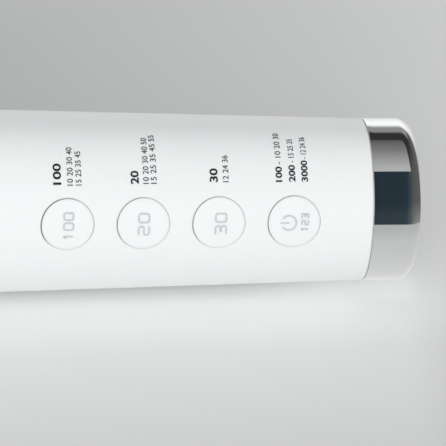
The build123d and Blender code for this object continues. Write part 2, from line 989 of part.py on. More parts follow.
with BuildPart() as face_screws:
    screws(
        Plane(origin=led_board_plane.origin, x_dir=face_plane.x_dir, z_dir=-face_plane.z_dir),
        [(across, -along) for across, along in face_screw_spots],
        led_board_thickness + led_board_drop + carrier_thickness / 2,
        small_screw_radius,
        small_screw_head_radius,
        small_screw_head_height,
    )

# ---- Wires inside ----


def wire(radius, corners, bend):
    """A wire in the current part: straight runs through the corners, joined by arcs."""
    with BuildLine() as route:
        FilletPolyline(*corners, radius=bend)
    with BuildSketch(Plane(origin=route.line @ 0, z_dir=route.line % 0)) as section:
        Circle(radius)
    sweep(section.sketch, path=route.line)


def board_back_y(height):
    """How far forward the back of the main board lies at a height above the base."""
    return -handle_radius(height) + board_back / cos(radians(taper_angle))


battery_front = battery_offset - battery_radius

with BuildPart() as battery_leads:
    for side, foot in ((-1, battery_start + rib_pitch / 2), (1, battery_end - rib_pitch / 2)):
        board = board_back_y(foot)
        wire(
            wire_radius,
            [
                (side * lead_start, battery_front - wire_end_gap, foot),
                (side * lead_start, battery_front - 2 * lead_bend, foot),
                (side * lead_end, board + 2 * lead_bend, foot),
                (side * lead_end, board + wire_end_gap, foot),
            ],
            lead_bend,
        )

with BuildPart() as motor_leads:
    lead_height = motor_start - motor_bay / 2
    for side in (-1, 1):
        wire(
            wire_radius,
            [
                (side * lead_start, motor_offset, motor_start),
                (side * lead_start, motor_offset, lead_height),
                (side * lead_start, board_back_y(lead_height) + wire_end_gap, lead_height),
            ],
            lead_bend,
        )

with BuildPart() as charge_leads:
    board_foot = power_button_height + board_start
    board_core_y = board_back_y(board_foot) - board_thickness / 2
    for side in (-1, 1):
        wire(
            wire_radius,
            [
                (side * lead_start, board_shelf + charge_board_thickness / 2, charge_lead_start),
                (side * lead_start, board_shelf + charge_board_thickness / 2, charge_lead_top),
                (side * lead_start, board_core_y, charge_lead_top),
                (side * lead_start, board_core_y, board_foot),
            ],
            lead_bend,
        )

with BuildPart() as face_harness:
    harness_start = power_button_height + board_end
    harness_exit = led_board_plane.offset(-harness_run)
    wire(
        harness_radius,
        [
            (0, board_back_y(harness_start) - board_thickness / 2, harness_start + harness_radius),
            (0, board_back_y(harness_start) - board_thickness, harness_start + harness_run),
            (0, -spigot_bore + harness_neck_gap, chassis_end),
            (0, -spigot_bore + harness_head_gap, neck_height),
            harness_exit.from_local_coords((0, -harness_side, 0)),
            led_board_plane.from_local_coords((0, -harness_side, -wire_end_gap)),
        ],
        harness_bend,
    )

# ---- Laying the device down and writing its pieces ----

pieces = {
    "handle_shell": handle_shell,
    "power_button": buttons[0],
    "mode_button_3": buttons[1],
    "mode_button_2": buttons[2],
    "mode_button_1": buttons[3],
    "switch_plunger_4": plungers[0],
    "switch_plunger_3": plungers[1],
    "switch_plunger_2": plungers[2],
    "switch_plunger_1": plungers[3],
    "main_board": main_board,
    "switch_housings": switch_housings,
    "button_lights": button_lights,
    "controller_chip": controller_chip,
    "storage_capacitors": storage_capacitors,
    "power_transformer": power_transformer,
    "board_screws": board_screws,
    "battery": battery,
    "battery_pad": battery_pad,
    "chassis": chassis,
    "motor_can": motor_can,
    "motor_sleeve": motor_sleeve,
    "motor_clamp": motor_clamp,
    "clamp_screws": clamp_screws,
    "motor_shaft": motor_shaft,
    "eccentric_weight": eccentric_weight,
    "base_cap": base_cap,
    "cap_seal": cap_seal,
    "cap_core": cap_core,
    "charge_board": charge_board,
    "usb_socket": usb_socket,
    "base_screws": base_screws,
    "head_shell": head_shell,
    "neck_seal": neck_seal,
    "neck_screws": neck_screws,
    "face_carrier": face_carrier,
    "face_seal": face_seal,
    "head_ring": head_ring,
    "light_ring": light_ring,
    "electrode_plate": electrode_plate,
    "outer_electrodes": outer_electrodes,
    "centre_electrode": centre_electrode,
    "led_board": led_board,
    "red_leds": red_leds,
    "blue_leds": blue_leds,
    "green_leds": green_leds,
    "face_screws": face_screws,
    "battery_leads": battery_leads,
    "motor_leads": motor_leads,
    "charge_leads": charge_leads,
    "face_harness": face_harness,
}

# The device rests on the cap's rounded edge and on the neck, so its axis rises towards the head,
# and the buttons look out of the front at the resting roll
rise = atan2(neck_radius - seam_radius, neck_height - cap_edge_radius)
roll = radians(resting_roll)
lying = Plane(
    origin=(0, 0, 0),
    x_dir=(cos(roll) * sin(rise), sin(roll), cos(roll) * cos(rise)),
    z_dir=(-cos(rise), 0, sin(rise)),
).location

outside = [handle_shell, base_cap, head_shell, head_ring, outer_electrodes, centre_electrode]
reach = Compound([shell.part.moved(lying) for shell in outside]).bounding_box()
resting_place = Pos(-reach.center().X, -reach.center().Y, -reach.min.Z) * lying

os.makedirs("parts", exist_ok=True)
for name, piece in pieces.items():
    laid = piece.part.moved(resting_place)
    laid.label = name
    export_step(laid, f"parts/{name}.step")
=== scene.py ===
import json
from math import asin, atan2, cos, pi, radians, sin, sqrt, tan

import bmesh
import bpy
from mathutils import Matrix, Vector


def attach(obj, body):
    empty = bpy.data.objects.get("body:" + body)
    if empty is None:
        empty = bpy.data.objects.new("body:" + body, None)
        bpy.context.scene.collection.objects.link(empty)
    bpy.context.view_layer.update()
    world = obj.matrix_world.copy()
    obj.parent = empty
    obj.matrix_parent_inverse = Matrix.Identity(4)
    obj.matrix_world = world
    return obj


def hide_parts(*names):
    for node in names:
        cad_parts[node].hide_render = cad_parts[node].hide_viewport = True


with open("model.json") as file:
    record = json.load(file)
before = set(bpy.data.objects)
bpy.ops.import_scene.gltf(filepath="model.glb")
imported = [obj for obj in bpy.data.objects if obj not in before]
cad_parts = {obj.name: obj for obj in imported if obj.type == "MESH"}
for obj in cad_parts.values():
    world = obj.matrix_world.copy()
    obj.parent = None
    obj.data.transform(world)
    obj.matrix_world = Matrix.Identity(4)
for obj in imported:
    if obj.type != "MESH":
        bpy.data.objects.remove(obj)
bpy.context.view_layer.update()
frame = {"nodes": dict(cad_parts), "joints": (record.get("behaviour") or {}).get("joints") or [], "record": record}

# Facial toning device. Lengths are millimetres and angles degrees in the device's own upright
# frame: Z runs up the handle from the end face of the cap to the head, the buttons face -Y, and X
# is across. to_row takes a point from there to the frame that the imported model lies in, in metres.

# ---- Driving dimensions ----

seam_radius = 20.0
taper_angle = 1.5
shell_wall = 2.0
edge_break = 0.12

cap_height = 12.3
cap_wall = 1.6
cap_floor = 2.0
cap_edge_radius = 4.0
seal_thickness = 0.25
seal_recess = 0.35
seal_width = 1.1
socket_width = 8.94
socket_height = 3.26
socket_gap = 0.2
socket_recess = 0.5
opening_edge = 0.3

button_count = 4
button_pitch = 18.5
power_button_reach = 19.5
button_radius = 6.35
button_gap = 0.2
button_edge = 0.08
button_lip = 0.05
button_lean = (0.035, 0.075)
centred = (0, 0)
web_depth = 0.07
web_thickness = 0.25
web_gap = 0.02
button_face_depth = 2.5
button_shoulder_gap = 0.2
flange_overhang = 1.05
flange_thickness = 0.9
flange_gap = 0.35
stem_radius = 1.6
stem_length = 1.8
bed_depth = 4.4
bed_margin = 2.0

neck_height = 146.3
neck_straight = 2.0
head_radius = 26.0
head_wall = 2.2
bend_radius = 44.0
face_tilt = 35.0
spigot_bottom = 139.3
spigot_wall = 1.8
spigot_gap = 0.15
shell_seal_width = 1.0
shell_seal_height = 0.9
lug_radius = 3.0
lug_bore = 1.2
lug_inset = 2.4
lug_angle = 21.5
lug_foot = 138.3

rim_wall = 3.3
face_gap = 0.15
ring_height = 2.8
ring_edge_radius = 1.3
ring_bore_edge = 0.4
window_width = 4.4
window_rise = 3.1
window_edge_radius = 0.7
carrier_recess = 1.0
carrier_thickness = 2.0
face_seal_height = 0.3
ledge_width = 1.5
ledge_thickness = 1.4

# ---- Places that follow from them ----

record = frame["record"]
socket_mount = next(mount for mount in record["mounts"] if mount["name"] == "charging_socket")
press_joint = next(joint for joint in frame["joints"] if joint["name"] == "power_press")

up_handle = -Vector(socket_mount["axis"]).normalized()
pressed = Vector(press_joint["axis"])
into_handle = (pressed - pressed.dot(up_handle) * up_handle).normalized()
across_handle = into_handle.cross(up_handle)
base_centre = Vector(socket_mount["pos_m"]) - up_handle * socket_recess / 1000


def frame_at(origin, x_dir, y_dir, z_dir):
    """A frame by its origin and its three directions."""
    return Matrix.Translation(origin) @ Matrix((x_dir, y_dir, z_dir)).transposed().to_4x4()


to_row = frame_at(base_centre, across_handle, into_handle, up_handle) @ Matrix.Scale(0.001, 4)


def handle_radius(height):
    """Outer radius of the handle at a height above the end of the cap."""
    return seam_radius + (height - cap_height) * tan(radians(taper_angle))


neck_radius = handle_radius(neck_height)
power_button_height = cap_height + power_button_reach
row_origin = Vector((0, -handle_radius(power_button_height), power_button_height))
row_along = Vector((0, -sin(radians(taper_angle)), cos(radians(taper_angle))))
row_out = Vector((0, -cos(radians(taper_angle)), -sin(radians(taper_angle))))

button_hole = button_radius + button_gap
flange_radius = button_radius + flange_overhang
flange_bore = flange_radius + flange_gap
bed_half_width = flange_bore + bed_margin
half_pitch = button_pitch / 2

spigot_radius = handle_radius(spigot_bottom) - shell_wall - spigot_gap
spigot_bore = spigot_radius - spigot_wall

rim_bore = head_radius - rim_wall
window_outer = rim_bore - face_gap
window_inner = window_outer - window_width
ledge_top = -carrier_recess - carrier_thickness - face_seal_height
ledge_bore = rim_bore - ledge_width


# ---- Making meshes ----

round_steps = 192
scene = bpy.context.scene


def linked(name, data):
    """A new object in the scene."""
    holder = bpy.data.objects.new(name, data)
    scene.collection.objects.link(holder)
    return holder


class Form:
    """A mesh put together from rings of points, in the upright frame."""

    def __init__(self):
        self.mesh = bmesh.new()

    def corner(self, point):
        return self.mesh.verts.new(Vector(point))

    def skin(self, rings, closed=True):
        """Join neighbouring rings of points with quads. A closed ring's end meets its start."""
        rows = [[self.corner(point) for point in ring] for ring in rings]
        for row, following in zip(rows, rows[1:]):
            count = len(row)
            for place in range(count if closed else count - 1):
                beyond = (place + 1) % count
                self.mesh.faces.new((row[place], row[beyond], following[beyond], following[place]))

    def lid(self, ring):
        """Close a ring of points with triangles round its middle."""
        rim = [self.corner(point) for point in ring]
        middle = self.corner(sum((Vector(point) for point in ring), Vector()) / len(ring))
        for place, point in enumerate(rim):
            self.mesh.faces.new((point, rim[(place + 1) % len(rim)], middle))

    def finish(self, name, body, look, replaces=(), crease=35.0):
        """Weld the form, lay it down in the row frame and make it a piece that rides on a body.

        Its one material is its look; a piece that replaces nodes is given the look that is named like their
        material slot.
        """
        weld_distance = 0.0005
        bmesh.ops.remove_doubles(self.mesh, verts=self.mesh.verts, dist=weld_distance)
        bmesh.ops.recalc_face_normals(self.mesh, faces=self.mesh.faces)
        mesh = bpy.data.meshes.new(name)
        self.mesh.to_mesh(mesh)
        self.mesh.free()
        mesh.transform(to_row)
        mesh.shade_smooth()
        mesh.set_sharp_from_angle(angle=radians(crease))
        mesh.materials.append(looks[look])
        piece = linked(name, mesh)
        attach(piece, body)
        if replaces:
            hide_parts(*replaces)


def spread(first, last, steps):
    """Evenly spaced values from the first to the last, both included."""
    return [first + (last - first) * step / steps for step in range(steps + 1)]


def circle_angles(steps):
    """Evenly spaced angles of a whole turn."""
    return [2 * pi * step / steps for step in range(steps)]


upright = Matrix.Identity(4)


def bend_place(share):
    """Frame of the head's centre line, a share of the way round its bend."""
    angle = radians(face_tilt) * share
    x_dir = Vector((1, 0, 0))
    z_dir = Vector((0, -sin(angle), cos(angle)))
    height = neck_height + neck_straight + bend_radius * sin(angle)
    origin = Vector((0, bend_radius * (cos(angle) - 1), height))
    return frame_at(origin, x_dir, z_dir.cross(x_dir), z_dir)


face_place = bend_place(1)


def circle(radius, height=0.0, place=upright, steps=round_steps, centre=centred):
    """A ring of points round an axis of the given frame."""
    return [
        place @ Vector((centre[0] + radius * cos(turn), centre[1] + radius * sin(turn), height))
        for turn in circle_angles(steps)
    ]


def lathe(profile, place=upright, steps=round_steps, centre=centred):
    """Rings through a closed profile of (radius, height) corners."""
    corners = [*profile, profile[0]]
    return [circle(radius, height, place, steps, centre) for radius, height in corners]


def quarter(radius, steps=8):
    """Pairs along a quarter of a round edge, from (radius, 0) to (0, radius)."""
    turns = spread(0, pi / 2, steps)
    return [(radius * (1 - sin(turn)), radius * (1 - cos(turn))) for turn in turns]


def tube_profile(inner, outer, low, high, outer_edge, inner_edge):
    """Section of a ring whose two upper edges are rounded."""
    outside = [(outer - inward, high - down) for down, inward in quarter(outer_edge)]
    inside = [(inner + inward, high - down) for down, inward in quarter(inner_edge)[::-1]]
    return [(inner, low), (outer, low), *outside, *inside]


# ---- Node materials ----


class Socket:
    """One output in a node tree. Arithmetic on it adds Math nodes."""

    def __init__(self, nodes, output):
        self.nodes = nodes
        self.output = output

    def _math(self, operation, *values):
        return self.nodes.add("ShaderNodeMath", dict(enumerate(values)), operation=operation)

    def __add__(self, other):
        return self._math("ADD", self, other)

    def __sub__(self, other):
        return self._math("SUBTRACT", self, other)

    def __rsub__(self, other):
        return self._math("SUBTRACT", other, self)

    def __mul__(self, other):
        return self._math("MULTIPLY", self, other)

    def __truediv__(self, other):
        return self._math("DIVIDE", self, other)

    def __gt__(self, other):
        return self._math("GREATER_THAN", self, other)

    def __lt__(self, other):
        return self._math("LESS_THAN", self, other)

    def __abs__(self):
        return self._math("ABSOLUTE", self)

    __radd__ = __add__
    __rmul__ = __mul__

    def root(self):
        """Square root."""
        return self._math("POWER", self, 0.5)

    def angle_from(self, other):
        """Angle in radians whose sine and cosine have the ratio of this value and the other."""
        return self._math("ARCTAN2", self, other)

    def within(self, low, high, soft):
        """One between two values and zero outside them, with soft edges."""
        return self.ease(low - soft, low) * self.ease(high, high + soft, 1.0, 0.0)

    def slide(self, start, end, low=0.0, high=1.0, **settings):
        """Goes evenly from low to high as this value goes from start to end."""
        ends = {"Value": self, "From Min": start, "From Max": end, "To Min": low, "To Max": high}
        return self.nodes.add("ShaderNodeMapRange", ends, **settings)

    def ease(self, start, end, low=0.0, high=1.0):
        """Goes from low to high like slide, with smooth ends."""
        return self.slide(start, end, low, high, interpolation_type="SMOOTHSTEP")


class Nodes:
    """A node tree, and the ways to add to it."""

    def __init__(self, tree):
        self.tree = tree
        tree.nodes.clear()

    def add(self, kind, inputs=None, output=0, **settings):
        """A node with its settings, then its inputs: values, or sockets to link."""
        node = self.tree.nodes.new(kind)
        stops = settings.pop("stops", None)
        for setting, value in settings.items():
            setattr(node, setting, value)
        if stops:
            ramp = node.color_ramp.elements
            while len(ramp) < len(stops):
                ramp.new(1.0)
            for element, (position, tone) in zip(ramp, stops):
                element.position = position
                element.color = (*tone, 1.0)
        for name, value in (inputs or {}).items():
            if isinstance(value, Socket):
                self.tree.links.new(value.output, node.inputs[name])
            else:
                node.inputs[name].default_value = value
        return Socket(self, node.outputs[output]) if node.outputs else node

    def mix(self, factor, first, second):
        """A colour between two colours."""
        inputs = {0: factor, 6: opaque(first), 7: opaque(second)}
        return self.add("ShaderNodeMix", inputs, output=2, data_type="RGBA")

    def place(self):
        """Where a point lies, in the object's own metres."""
        return self.add("ShaderNodeTexCoord", output=3)

    def noise(self, size, detail=2.0, vector=None, roughness=0.5):
        """Soft noise from 0 to 1 whose patches are about size millimetres wide."""
        inputs = {"Vector": vector or self.place(), "Scale": 1000 / size, "Detail": detail,
                  "Roughness": roughness}
        return self.add("ShaderNodeTexNoise", inputs)

    def tinted(self, level, red, green, blue):
        """A grey level with a slight tint."""
        return self.add("ShaderNodeCombineColor",
                        {"Red": level * red, "Green": level * green, "Blue": level * blue})

    def paths(self):
        """What kind of ray is being followed, by the names of Light Path's outputs."""
        first = self.add("ShaderNodeLightPath")
        return {output.name: Socket(self, output) for output in first.output.node.outputs}

    def parts(self, vector):
        """The three numbers of a vector."""
        split = self.add("ShaderNodeSeparateXYZ", {"Vector": vector})
        return [Socket(self, output) for output in split.output.node.outputs]

    def along(self, vector, direction):
        """How far a vector reaches along a direction."""
        return self.add("ShaderNodeVectorMath", {0: vector, 1: direction}, output=1,
                        operation="DOT_PRODUCT")

    def bump(self, height, depth, strength=1.0):
        """A normal roughened by a height from 0 to 1 that stands for depth millimetres."""
        inputs = {"Height": height, "Distance": depth / 1000, "Strength": strength}
        return self.add("ShaderNodeBump", inputs)


def opaque(tone):
    """A colour as a socket or with its alpha."""
    return tone if isinstance(tone, Socket) else (*tone, 1.0)


def grey(level):
    """A neutral colour."""
    return (level, level, level)


looks = {}


def new_look(name):
    """Make a material, keep it by its name and give its empty node tree."""
    material = bpy.data.materials.new(name)
    material.use_nodes = True
    looks[name] = material
    return Nodes(material.node_tree)


def surface(nodes, **inputs):
    """The material's one shader: names take spaces for underscores."""
    named = {name.replace("_", " "): value for name, value in inputs.items()}
    shader = nodes.add("ShaderNodeBsdfPrincipled", named)
    nodes.add("ShaderNodeOutputMaterial", {"Surface": shader})


def moulded(name, light, dark, roughness, grain=0.6, depth=0.004, patch=12.0, coat=0.0):
    """Moulded plastic: two close tones in soft patches, and a fine skin that breaks its gloss."""
    nodes = new_look(name)
    patches = nodes.noise(patch)
    skin = nodes.noise(grain, detail=3.0)
    surface(
        nodes,
        Base_Color=nodes.mix(patches.ease(0.3, 0.7), light, dark),
        Roughness=skin.slide(0.3, 0.7, roughness * 0.9, roughness * 1.12),
        Normal=nodes.bump(skin, depth),
        Coat_Weight=coat,
        Coat_Roughness=0.06,
    )


def gap_dust_and_shade(nodes):
    """How much the gap round a button is painted with dust and, mostly, painted shade: most on the side of the
    head, hardly any below.

    The button nearest the head has the most.
    """
    place = nodes.place()
    origin = to_row @ row_origin
    across = (nodes.along(place, across_handle) - origin.dot(across_handle)) * 1000
    run = (nodes.along(place, up_handle) - origin.dot(up_handle)) * 1000 / cos(radians(taper_angle))
    front = nodes.along(place, into_handle) - base_centre.dot(into_handle)
    nearest = nodes.add("ShaderNodeMath", {0: run, 1: -half_pitch, 2: button_pitch - half_pitch},
                        operation="WRAP")
    on_the_row = run.within(-half_pitch, (button_count - 0.5) * button_pitch, 0.01)
    on_the_front = front < -0.012
    across, nearest = across - button_lean[0] / 2, nearest - button_lean[1] / 2
    reach = (across * across + nearest * nearest).root()
    gap_middle = button_radius + button_gap / 2
    in_the_gap = abs(reach - gap_middle).ease(button_gap * 0.55, button_gap * 0.8, 1.0, 0.0)
    toward_head = (nearest / gap_middle).ease(-0.8, 1.0, 0.20, 0.62)
    not_below = (across / gap_middle).ease(-1.0, -0.3, 0.1, 1.0)
    on_last = run.ease(2.3 * button_pitch, 2.7 * button_pitch, 1.0, 1.45)
    return in_the_gap * on_the_row * on_the_front * toward_head * not_below * on_last


def outer_skin(name, light, dark, roughness, patch, dust_and_shade_in_gaps=True):
    """White plastic of the outside: nearly smooth, a little translucent, with dust and painted shade in its gaps.
    """
    # A warm brown for the dust and the painted shade in the button gaps.
    dust_and_shade = (0.125, 0.087, 0.025)
    nodes = new_look(name)
    patches = nodes.noise(patch)
    skin = nodes.noise(2.2, detail=1.0)
    tone = nodes.mix(patches, light, dark)
    # Painted shade in the button gaps, with a little dust, darkest on the side of the head.
    if dust_and_shade_in_gaps:
        tone = nodes.mix(gap_dust_and_shade(nodes), tone, dust_and_shade)
    surface(
        nodes,
        Base_Color=tone,
        Roughness=patches.slide(0.0, 1.0, roughness, roughness * 1.18),
        Normal=nodes.bump(skin, 0.0006),
        Subsurface_Weight=1.0,
        Subsurface_Radius=(1.0, 0.95, 0.88),
        Subsurface_Scale=0.0004,
    )


def metal(name, light, dark, roughness, grain=(1.0, 1.0, 1.0), size=0.8, depth=0.0):
    """Metal: gloss that varies along its grain, with faint cloudy handling marks."""
    nodes = new_look(name)
    stretched = nodes.add("ShaderNodeMapping", {"Vector": nodes.place(), "Scale": grain})
    lines = nodes.noise(size, detail=4.0, vector=stretched, roughness=0.6)
    clouds = nodes.noise(9.0)
    inputs = dict(
        Base_Color=nodes.mix(clouds.ease(0.3, 0.7), light, dark),
        Metallic=1.0,
        Roughness=lines.slide(0.3, 0.7, roughness * 0.8, roughness * 1.25),
    )
    if depth:
        inputs["Normal"] = nodes.bump(lines, depth)
    surface(nodes, **inputs)


def circuit_board():
    """Green solder mask over copper tracks, with paler pads."""
    nodes = new_look("solder_mask_green")
    tracks = nodes.add("ShaderNodeTexVoronoi", {"Vector": nodes.place(), "Scale": 420.0},
                       feature="DISTANCE_TO_EDGE", distance="CHEBYCHEV")
    copper = tracks.ease(0.05, 0.09, 1.0, 0.0)
    mask = nodes.mix(copper, (0.012, 0.11, 0.045), (0.035, 0.22, 0.09))
    surface(nodes, Base_Color=mask, Roughness=copper.slide(0.0, 1.0, 0.32, 0.24),
            Normal=nodes.bump(copper, 0.03))


def winding():
    """Yellow tape over turns of wire."""
    nodes = new_look("taped_winding")
    turns = nodes.add("ShaderNodeTexWave",
                      {"Vector": nodes.place(), "Scale": 900.0, "Distortion": 0.6})
    surface(nodes, Base_Color=nodes.mix(turns, (0.55, 0.36, 0.05), (0.72, 0.52, 0.10)),
            Roughness=turns.slide(0.0, 1.0, 0.45, 0.6), Normal=nodes.bump(turns, 0.05))


def closed_foam():
    """Grey closed-cell foam."""
    nodes = new_look("grey_foam")
    cells = nodes.add("ShaderNodeTexVoronoi", {"Vector": nodes.place(), "Scale": 1800.0})
    surface(nodes, Base_Color=nodes.mix(cells, grey(0.05), grey(0.13)), Roughness=0.9,
            Normal=nodes.bump(cells, 0.12))


def resin(name, tone, deep):
    """Clear coloured resin of a light, a little deeper in tone in soft clouds."""
    nodes = new_look(name)
    cloud = nodes.noise(2.0)
    surface(nodes, Base_Color=nodes.mix(cloud, tone, deep),
            Roughness=cloud.slide(0.2, 0.8, 0.08, 0.16), Coat_Weight=0.5)


def frosted():
    """Frosted window: milky, with a fine sandblasted skin."""
    nodes = new_look("frosted_window")
    frost = nodes.noise(0.35, detail=4.0)
    milk = nodes.noise(6.0)
    tone = nodes.mix(milk.ease(0.3, 0.7), (0.80, 0.83, 0.86), (0.74, 0.78, 0.82))
    surface(nodes, Base_Color=tone,
            Roughness=frost.slide(0.3, 0.7, 0.30, 0.42), Normal=nodes.bump(frost, 0.006),
            Transmission_Weight=0.25, IOR=1.49)


def ink(name, tone, worn):
    """Printed ink with slightly uneven cover."""
    nodes = new_look(name)
    cover = nodes.noise(0.7, detail=3.0)
    surface(nodes, Base_Color=nodes.mix(cover.ease(0.45, 0.8), tone, worn),
            Roughness=cover.slide(0.2, 0.8, 0.35, 0.5))


outer_skin("shell_white", (0.885, 0.897, 0.892), (0.875, 0.887, 0.884), 0.28, patch=35.0)
outer_skin("button_white", (0.89, 0.902, 0.897), (0.882, 0.894, 0.890), 0.30, patch=9.0)
outer_skin("plate_white", (0.88, 0.89, 0.90), (0.86, 0.87, 0.88), 0.22, patch=15.0, dust_and_shade_in_gaps=False)
moulded("inner_plastic", (0.70, 0.70, 0.67), (0.64, 0.64, 0.61), 0.5, depth=0.01)
moulded("seal_grey", (0.60, 0.605, 0.60), (0.52, 0.525, 0.52), 0.6, grain=0.3, patch=3.0)
moulded("switch_black", grey(0.022), grey(0.014), 0.4, grain=0.3, patch=3.0)
moulded("wire_red", (0.42, 0.02, 0.016), (0.33, 0.014, 0.012), 0.4, patch=2.0)
moulded("wire_black", grey(0.018), grey(0.012), 0.4, patch=2.0)
moulded("battery_wrap", (0.02, 0.10, 0.30), (0.016, 0.08, 0.26), 0.25, patch=5.0, coat=0.4)
resin("light_clear", (0.75, 0.75, 0.70), (0.62, 0.62, 0.55))
resin("led_red", (0.60, 0.04, 0.03), (0.40, 0.02, 0.02))
resin("led_blue", (0.04, 0.08, 0.60), (0.02, 0.04, 0.40))
resin("led_green", (0.04, 0.42, 0.08), (0.02, 0.28, 0.05))
metal("polished_chrome", (0.80, 0.816, 0.806), (0.775, 0.791, 0.783), 0.035, size=6.0)
metal("electrode_metal", grey(0.72), grey(0.68), 0.15, size=0.5, depth=0.0006)
metal("socket_steel", grey(0.50), grey(0.42), 0.30, grain=(0.1, 1.0, 1.0), size=0.3)
metal("screw_steel", grey(0.45), grey(0.38), 0.32, size=0.5)
metal("motor_steel", grey(0.50), grey(0.44), 0.28, grain=(0.1, 1.0, 1.0), size=0.4)
metal("can_metal", grey(0.62), grey(0.56), 0.25, size=0.5)
ink("caption_ink", (0.012, 0.013, 0.015), (0.05, 0.053, 0.058))
ink("icon_ink", (0.57, 0.62, 0.655), (0.62, 0.67, 0.70))
frosted()
circuit_board()
winding()
closed_foam()

# The slots whose look has a name of its own. All others are named like their look.
own_looks = {"board_green": "solder_mask_green", "coil_yellow": "taped_winding",
             "foam_grey": "grey_foam"}

for subpart in record["subparts"]:
    solid = frame["nodes"][subpart["node"]]
    slot = subpart["material_slot"]
    solid.data.materials.clear()
    solid.data.materials.append(looks[own_looks.get(slot, slot)])


# ---- Handle ----


def cone_rise(across, along, sunk):
    """How far a cone sunk below the handle's surface lies above the plane of the buttons."""
    raised = 0.0
    for _ in range(5):
        point = row_origin + row_along * along + row_out * raised
        wanted = -sqrt((handle_radius(point.z) - sunk) ** 2 - across**2)
        raised += (point.y - wanted) / cos(radians(taper_angle))
    return raised


def row_point(across, along, raised):
    """Point at a place in the plane of the buttons, raised out of that plane."""
    point = row_origin + row_along * along + row_out * raised
    return Vector((across, point.y, point.z))


def outside_point(across, along):
    """The outside of the tube."""
    return row_point(across, along, cone_rise(across, along, 0))


def inside_point(across, along):
    """The inside of the tube, with the flat bed that the buttons sit in."""
    return row_point(across, along, min(cone_rise(across, along, shell_wall), -bed_depth))


def cone_inside_point(across, along):
    """The inside of the tube beyond the bed."""
    return row_point(across, along, cone_rise(across, along, shell_wall))


# Lines of points run out from each button to a rectangle round it, as long as the pitch of the row.
corner_angle = atan2(half_pitch, bed_half_width)
side_steps = 36
end_steps = 32
back_steps = 110
side_turns = spread(-corner_angle, corner_angle, side_steps)
end_turns = spread(corner_angle, pi - corner_angle, end_steps)
half_round = side_turns[:-1] + end_turns[:-1]
patch_directions = half_round + [pi + turn for turn in half_round]
side_alongs = [bed_half_width * tan(turn) for turn in side_turns]
end_acrosses = [half_pitch / tan(turn) for turn in end_turns[::-1]]


def patch_edge(turn):
    """Point of the rectangle round a button, in the direction of an angle."""
    reach = min(
        bed_half_width / max(abs(cos(turn)), 1e-9),
        half_pitch / max(abs(sin(turn)), 1e-9),
    )
    return reach * cos(turn), reach * sin(turn)


def patch_rings(start_radius, middle, place, lean=centred, steps=7):
    """Rings from a hole's edge out to the rectangle round it, closer together near the hole."""
    crowding = 1.3
    rings = []
    for share in spread(0, 1, steps):
        grown = share**crowding
        ring = []
        for turn in patch_directions:
            edge_across, edge_along = patch_edge(turn)
            across = (lean[0] + start_radius * cos(turn)) * (1 - grown) + edge_across * grown
            along = (lean[1] + start_radius * sin(turn)) * (1 - grown) + edge_along * grown
            ring.append(place(across, middle + along))
        rings.append(ring)
    return rings


def button_ring(radius, middle, rise, lean):
    """Points round a button's axis, each raised by a function of across and along."""
    ring = []
    for turn in patch_directions:
        across = lean[0] + radius * cos(turn)
        along = middle + lean[1] + radius * sin(turn)
        ring.append(row_point(across, along, rise(across, along)))
    return ring


def curved_ring(radius, middle, depth, lean=centred):
    """Points round a button's axis that follow the handle's surface, at a depth below it."""
    return button_ring(
        radius, middle, lambda across, along: cone_rise(across, along, 0) - depth, lean)


def flat_ring(radius, middle, depth, lean=centred):
    """Points round a button's axis, at a depth below the plane of the buttons."""
    return button_ring(radius, middle, lambda across, along: -depth, lean)


def arc_round_back(height, sunk):
    """Points round the back of the handle, between the two edges of the button bed."""
    radius = handle_radius(height) - sunk
    edge = asin(bed_half_width / radius)
    return [
        Vector((radius * sin(turn), -radius * cos(turn), height))
        for turn in spread(edge, 2 * pi - edge, back_steps)
    ]


def plain_ring(height, sunk):
    """A whole ring of the handle, in line with the columns of the button bed."""
    radius = handle_radius(height) - sunk
    front = [asin(across / radius) for across in end_acrosses]
    back = spread(front[-1], 2 * pi + front[0], back_steps)
    turns = [*front, *back[1:-1]]
    return [Vector((radius * sin(turn), -radius * cos(turn), height)) for turn in turns]


def bed_end_ring(along, sunk, place):
    """The ring where the button bed ends, half of it in the plane of the buttons."""
    front = [place(across, along) for across in end_acrosses]
    back = arc_round_back(front[-1].z, sunk)
    return [*front, *back[1:-1]]


def add_button_hole(form, middle):
    """One stepped hole and the skins round it.

    The button rests a little off the middle of its hole, so the gap is wider on one side. A thin
    web closes it just under its mouth.
    """
    shoulder = button_face_depth - button_shoulder_gap
    web_bore = button_radius + web_gap
    web_back = web_depth + web_thickness
    form.skin(patch_rings(button_hole + button_lip, middle, outside_point, button_lean))
    lip = [curved_ring(button_hole + outward, middle, down, button_lean)
           for outward, down in quarter(button_lip, 5)]
    form.skin(lip)
    form.skin([
        lip[-1],
        curved_ring(button_hole, middle, web_depth, button_lean),
        curved_ring(web_bore, middle, web_depth),
        curved_ring(web_bore, middle, web_back),
        curved_ring(button_hole, middle, web_back, button_lean),
        flat_ring(button_hole, middle, shoulder, button_lean),
        flat_ring(flange_bore, middle, shoulder),
        flat_ring(flange_bore, middle, bed_depth),
    ])
    form.skin(patch_rings(flange_bore, middle, inside_point))


def add_back(form, middle):
    """The outer and inner skin round the back, from one side of a button to the other."""
    for sunk, place in ((0, outside_point), (shell_wall, inside_point)):
        rows = []
        for along in side_alongs:
            edge = place(bed_half_width, middle + along)
            row = arc_round_back(edge.z, sunk)
            row[0] = edge
            row[-1] = place(-bed_half_width, middle + along)
            rows.append(row)
        form.skin(rows, closed=False)


def add_plain_stretches(form, first, last):
    """The outer and inner skin below and above the button bed."""
    for sunk, place, broken in (
            (0, outside_point, edge_break), (shell_wall, cone_inside_point, 0.0)):
        for along, end, steps in (
                (first, cap_height + broken, 9), (last, neck_height - broken, 22)):
            bed_end = bed_end_ring(along, sunk, place)
            if sunk:
                form.skin([bed_end_ring(along, sunk, inside_point), bed_end])
            heights = spread(bed_end[0].z, end, steps)[1:]
            form.skin([bed_end, *[plain_ring(height, sunk) for height in heights]])


